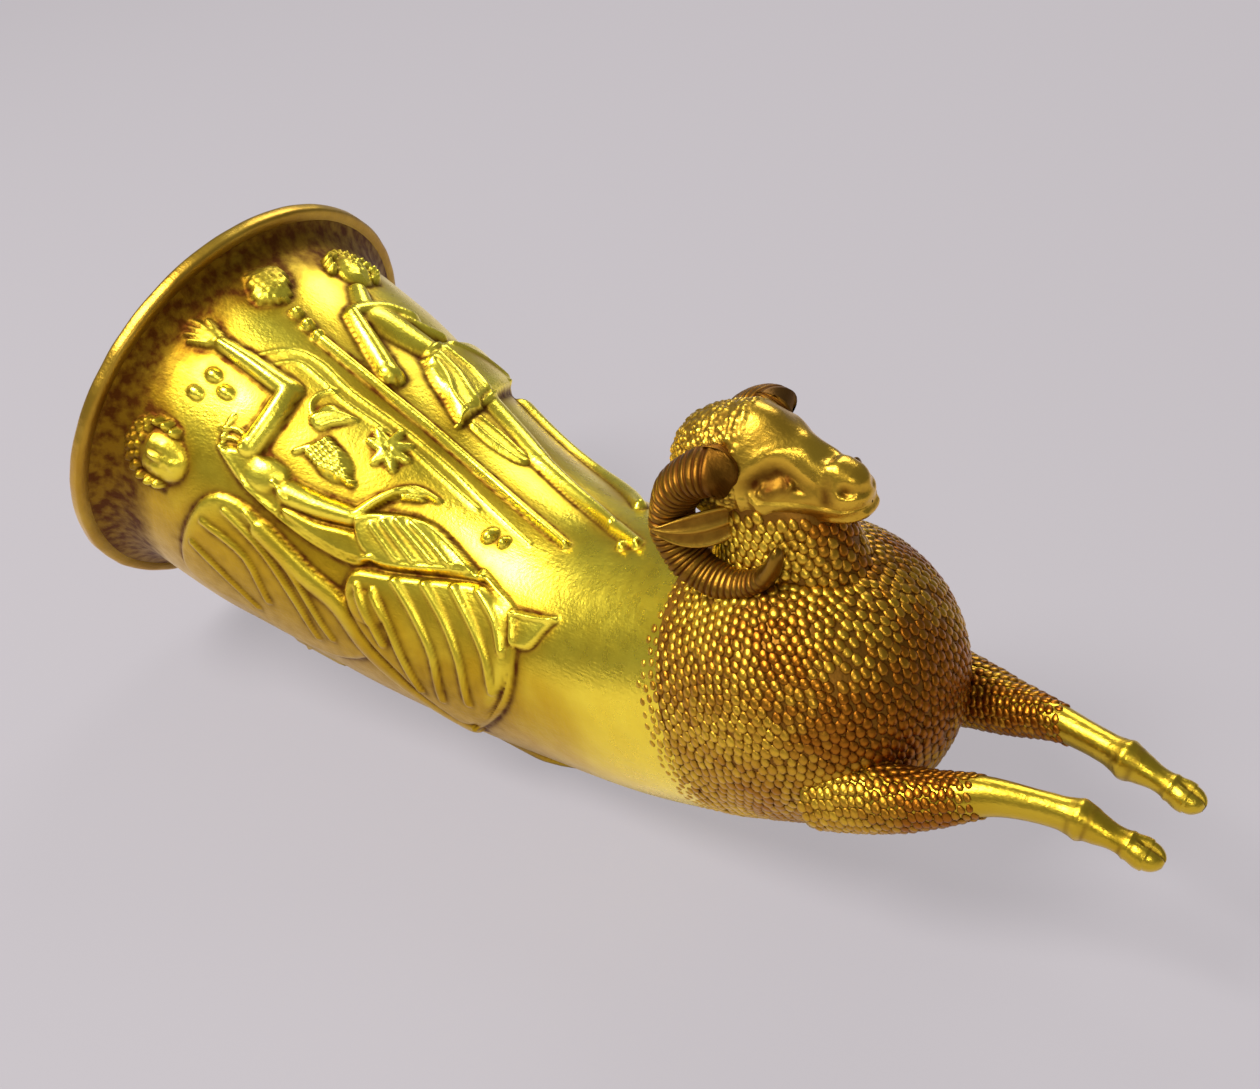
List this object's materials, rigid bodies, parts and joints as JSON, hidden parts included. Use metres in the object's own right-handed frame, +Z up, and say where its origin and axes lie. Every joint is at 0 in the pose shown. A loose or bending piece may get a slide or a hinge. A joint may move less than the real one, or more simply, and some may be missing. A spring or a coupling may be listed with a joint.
{
  "type": "rhyton drinking cup",
  "caption": "Gold drinking horn with a flared mouth, a bent body and a lower end shaped as the forepart of a ram, with a pouring hole between its forelegs.",
  "frame": {"origin": "middle of the small worn flat on the belly, on which the cup balances when it is laid down", "axes": "+Z up, +X from the mouth towards the ram, +Y to the left of the ram"},
  "size_m": [0.2286, 0.0894, 0.0958],
  "materials": {
    "cup_horn": "polished, worn",
    "lip_ring": "polished, worn",
    "protome_chest": "polished, worn",
    "head": "polished, worn",
    "left_horn": "polished, worn",
    "right_horn": "polished, worn",
    "left_ear": "polished, worn",
    "right_ear": "polished, worn",
    "left_foreleg": "polished, worn",
    "right_foreleg": "polished, worn",
    "pour_spout": "polished, worn"
  },
  "bodies": {
    "root": {"cup_horn": "cup_horn", "lip_ring": "lip_ring", "protome_chest": "protome_chest", "head": "head", "left_horn": "left_horn", "right_horn": "right_horn", "left_ear": "left_ear", "right_ear": "right_ear", "left_foreleg": "left_foreleg", "right_foreleg": "right_foreleg", "pour_spout": "pour_spout"}
  },
  "joints": []
}
